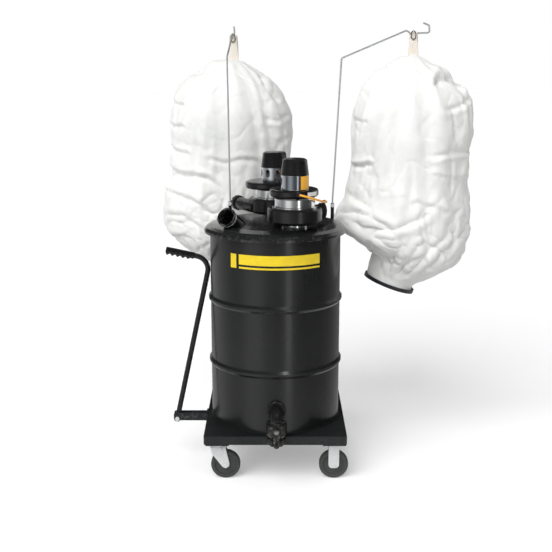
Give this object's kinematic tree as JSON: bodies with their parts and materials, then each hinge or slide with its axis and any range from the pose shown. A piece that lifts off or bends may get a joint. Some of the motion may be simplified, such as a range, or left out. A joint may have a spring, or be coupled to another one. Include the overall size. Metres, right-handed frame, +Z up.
{
  "type": "dust collector",
  "caption": "Drum dust collector on a caster dolly: vacuum motors and a hose inlet on the lid, filter bags on swinging rods, a tow handle and a drain valve.",
  "frame": {"origin": "on the floor under the centre of the drum", "axes": "+Z up; -Y the side with the drain valve; -X the side with the tow handle"},
  "size_m": [1.434, 1.187, 1.9458],
  "materials": {
    "dolly_paint": "satin charcoal paint",
    "drum_paint": "semi-gloss charcoal paint",
    "lid_paint": "gloss charcoal paint",
    "bolt_steel": "zinc plated",
    "caster_steel": "zinc plated",
    "wheel_rubber": "hard dark grey rubber",
    "valve_casting": "black painted casting",
    "steel_pipe": "dark painted pipe",
    "valve_steel": "plated",
    "handle_tube": "grey paint",
    "grip_rubber": "matte black",
    "gasket_rubber": "matte black",
    "bright_aluminium": "polished",
    "black_plastic": "satin black moulding",
    "black_gloss": "gloss black moulding",
    "can_metal": "satin",
    "laminations": "laminated steel with copper windings",
    "cage_plastic": "natural moulding",
    "orange_lead": "orange sheath",
    "rod_steel": "bright drawn rod",
    "bag_cloth": "white filter cloth",
    "ring_metal": "dark paint"
  },
  "bodies": {
    "chassis": {"dolly_tray": "dolly_paint", "caster_bolts": "bolt_steel", "tongue_bracket": "dolly_paint", "tow_pivot_bolt": "bolt_steel", "rigid_fork_front": "caster_steel", "rigid_fork_rear": "caster_steel", "swivel_plate_front": "caster_steel", "swivel_plate_rear": "caster_steel", "kingpins": "bolt_steel", "rigid_axles": "bolt_steel", "drum_shell": "drum_paint", "drain_elbow": "steel_pipe", "valve_body": "valve_casting"},
    "swivel_front": {"swivel_fork_front": "caster_steel", "swivel_axle_front": "bolt_steel"},
    "swivel_rear": {"swivel_fork_rear": "caster_steel", "swivel_axle_rear": "bolt_steel"},
    "wheel_swivel_front": {"swivel_wheel_front": "wheel_rubber"},
    "wheel_swivel_rear": {"swivel_wheel_rear": "wheel_rubber"},
    "wheel_rigid_front": {"rigid_wheel_front": "wheel_rubber"},
    "wheel_rigid_rear": {"rigid_wheel_rear": "wheel_rubber"},
    "valve_works": {"valve_ball": "valve_steel", "valve_stem": "valve_steel", "valve_lever": "valve_casting"},
    "tow_handle": {"tow_handle_tube": "handle_tube", "tow_handle_grip": "grip_rubber"},
    "lid": {"lid_shell": "lid_paint", "lid_gasket": "gasket_rubber", "rod_thumbscrews": "bolt_steel", "inlet_pipe": "lid_paint", "inlet_clamp": "bolt_steel", "motor_neck_rings": "bright_aluminium", "float_cages": "cage_plastic", "motor_base_front": "black_plastic", "motor_base_rear": "black_plastic", "fan_shell_front": "bright_aluminium", "fan_shell_rear": "bright_aluminium", "cooling_disc_front": "black_gloss", "cooling_disc_rear": "black_gloss", "motor_can_front": "can_metal", "motor_can_rear": "can_metal", "motor_cap_front": "black_plastic", "motor_cap_rear": "black_plastic", "stators": "laminations", "motor_bearings": "bolt_steel", "exhaust_collars": "black_plastic", "motor_lead": "orange_lead", "lead_glands": "black_plastic"},
    "float_front": {"float_ball_front": "cage_plastic"},
    "float_rear": {"float_ball_rear": "cage_plastic"},
    "rotor_front": {"armature_front": "laminations", "fans_front": "bright_aluminium"},
    "rotor_rear": {"armature_rear": "laminations", "fans_rear": "bright_aluminium"},
    "bag_arm_right": {"bag_rod_right": "rod_steel", "bag_right": "bag_cloth", "bag_ring_right": "ring_metal"},
    "bag_arm_left": {"bag_rod_left": "rod_steel", "bag_left": "bag_cloth", "bag_ring_left": "ring_metal"}
  },
  "joints": [
    {"name": "swivel_front_turn", "type": "hinge", "parent": "chassis", "child": "swivel_front", "pos_m": [-0.25, -0.245, 0.14], "axis": [0, 0, 1], "continuous": true},
    {"name": "swivel_rear_turn", "type": "hinge", "parent": "chassis", "child": "swivel_rear", "pos_m": [-0.25, 0.245, 0.14], "axis": [0, 0, 1], "continuous": true},
    {"name": "swivel_front_wheel_spin", "type": "hinge", "parent": "swivel_front", "child": "wheel_swivel_front", "pos_m": [-0.216, -0.245, 0.0635], "axis": [0, 1, 0], "continuous": true},
    {"name": "swivel_rear_wheel_spin", "type": "hinge", "parent": "swivel_rear", "child": "wheel_swivel_rear", "pos_m": [-0.216, 0.245, 0.0635], "axis": [0, 1, 0], "continuous": true},
    {"name": "rigid_front_wheel_spin", "type": "hinge", "parent": "chassis", "child": "wheel_rigid_front", "pos_m": [0.254, -0.245, 0.0635], "axis": [0, 1, 0], "continuous": true},
    {"name": "rigid_rear_wheel_spin", "type": "hinge", "parent": "chassis", "child": "wheel_rigid_rear", "pos_m": [0.254, 0.245, 0.0635], "axis": [0, 1, 0], "continuous": true},
    {"name": "valve_lever_turn", "type": "hinge", "parent": "chassis", "child": "valve_works", "pos_m": [0.005, -0.352, 0.269], "axis": [0, -1, 0], "range_deg": [0, 90]},
    {"name": "tow_handle_tilt", "type": "hinge", "parent": "chassis", "child": "tow_handle", "pos_m": [-0.447, 0, 0.183], "axis": [0, -1, 0], "range_deg": [0, 75]},
    {"name": "lid_lift", "type": "slide", "parent": "chassis", "child": "lid", "axis": [0, 0, 1], "range_m": [0, 0.3]},
    {"name": "float_front_rise", "type": "slide", "parent": "lid", "child": "float_front", "axis": [0, 0, 1], "range_m": [0, 0.038]},
    {"name": "float_rear_rise", "type": "slide", "parent": "lid", "child": "float_rear", "axis": [0, 0, 1], "range_m": [0, 0.038]},
    {"name": "rotor_front_spin", "type": "hinge", "parent": "lid", "child": "rotor_front", "pos_m": [0.082, -0.145, 1.2], "axis": [0, 0, 1], "continuous": true},
    {"name": "rotor_rear_spin", "type": "hinge", "parent": "lid", "child": "rotor_rear", "pos_m": [-0.004, 0.146, 1.2], "axis": [0, 0, 1], "continuous": true},
    {"name": "bag_arm_right_swing", "type": "hinge", "parent": "lid", "child": "bag_arm_right", "pos_m": [0.257, 0.134, 1.12], "axis": [0, 0, 1], "range_deg": [-25, 0]},
    {"name": "bag_arm_left_swing", "type": "hinge", "parent": "lid", "child": "bag_arm_left", "pos_m": [-0.206, 0.19, 1.12], "axis": [0, 0, 1], "range_deg": [0, 30]}
  ]
}
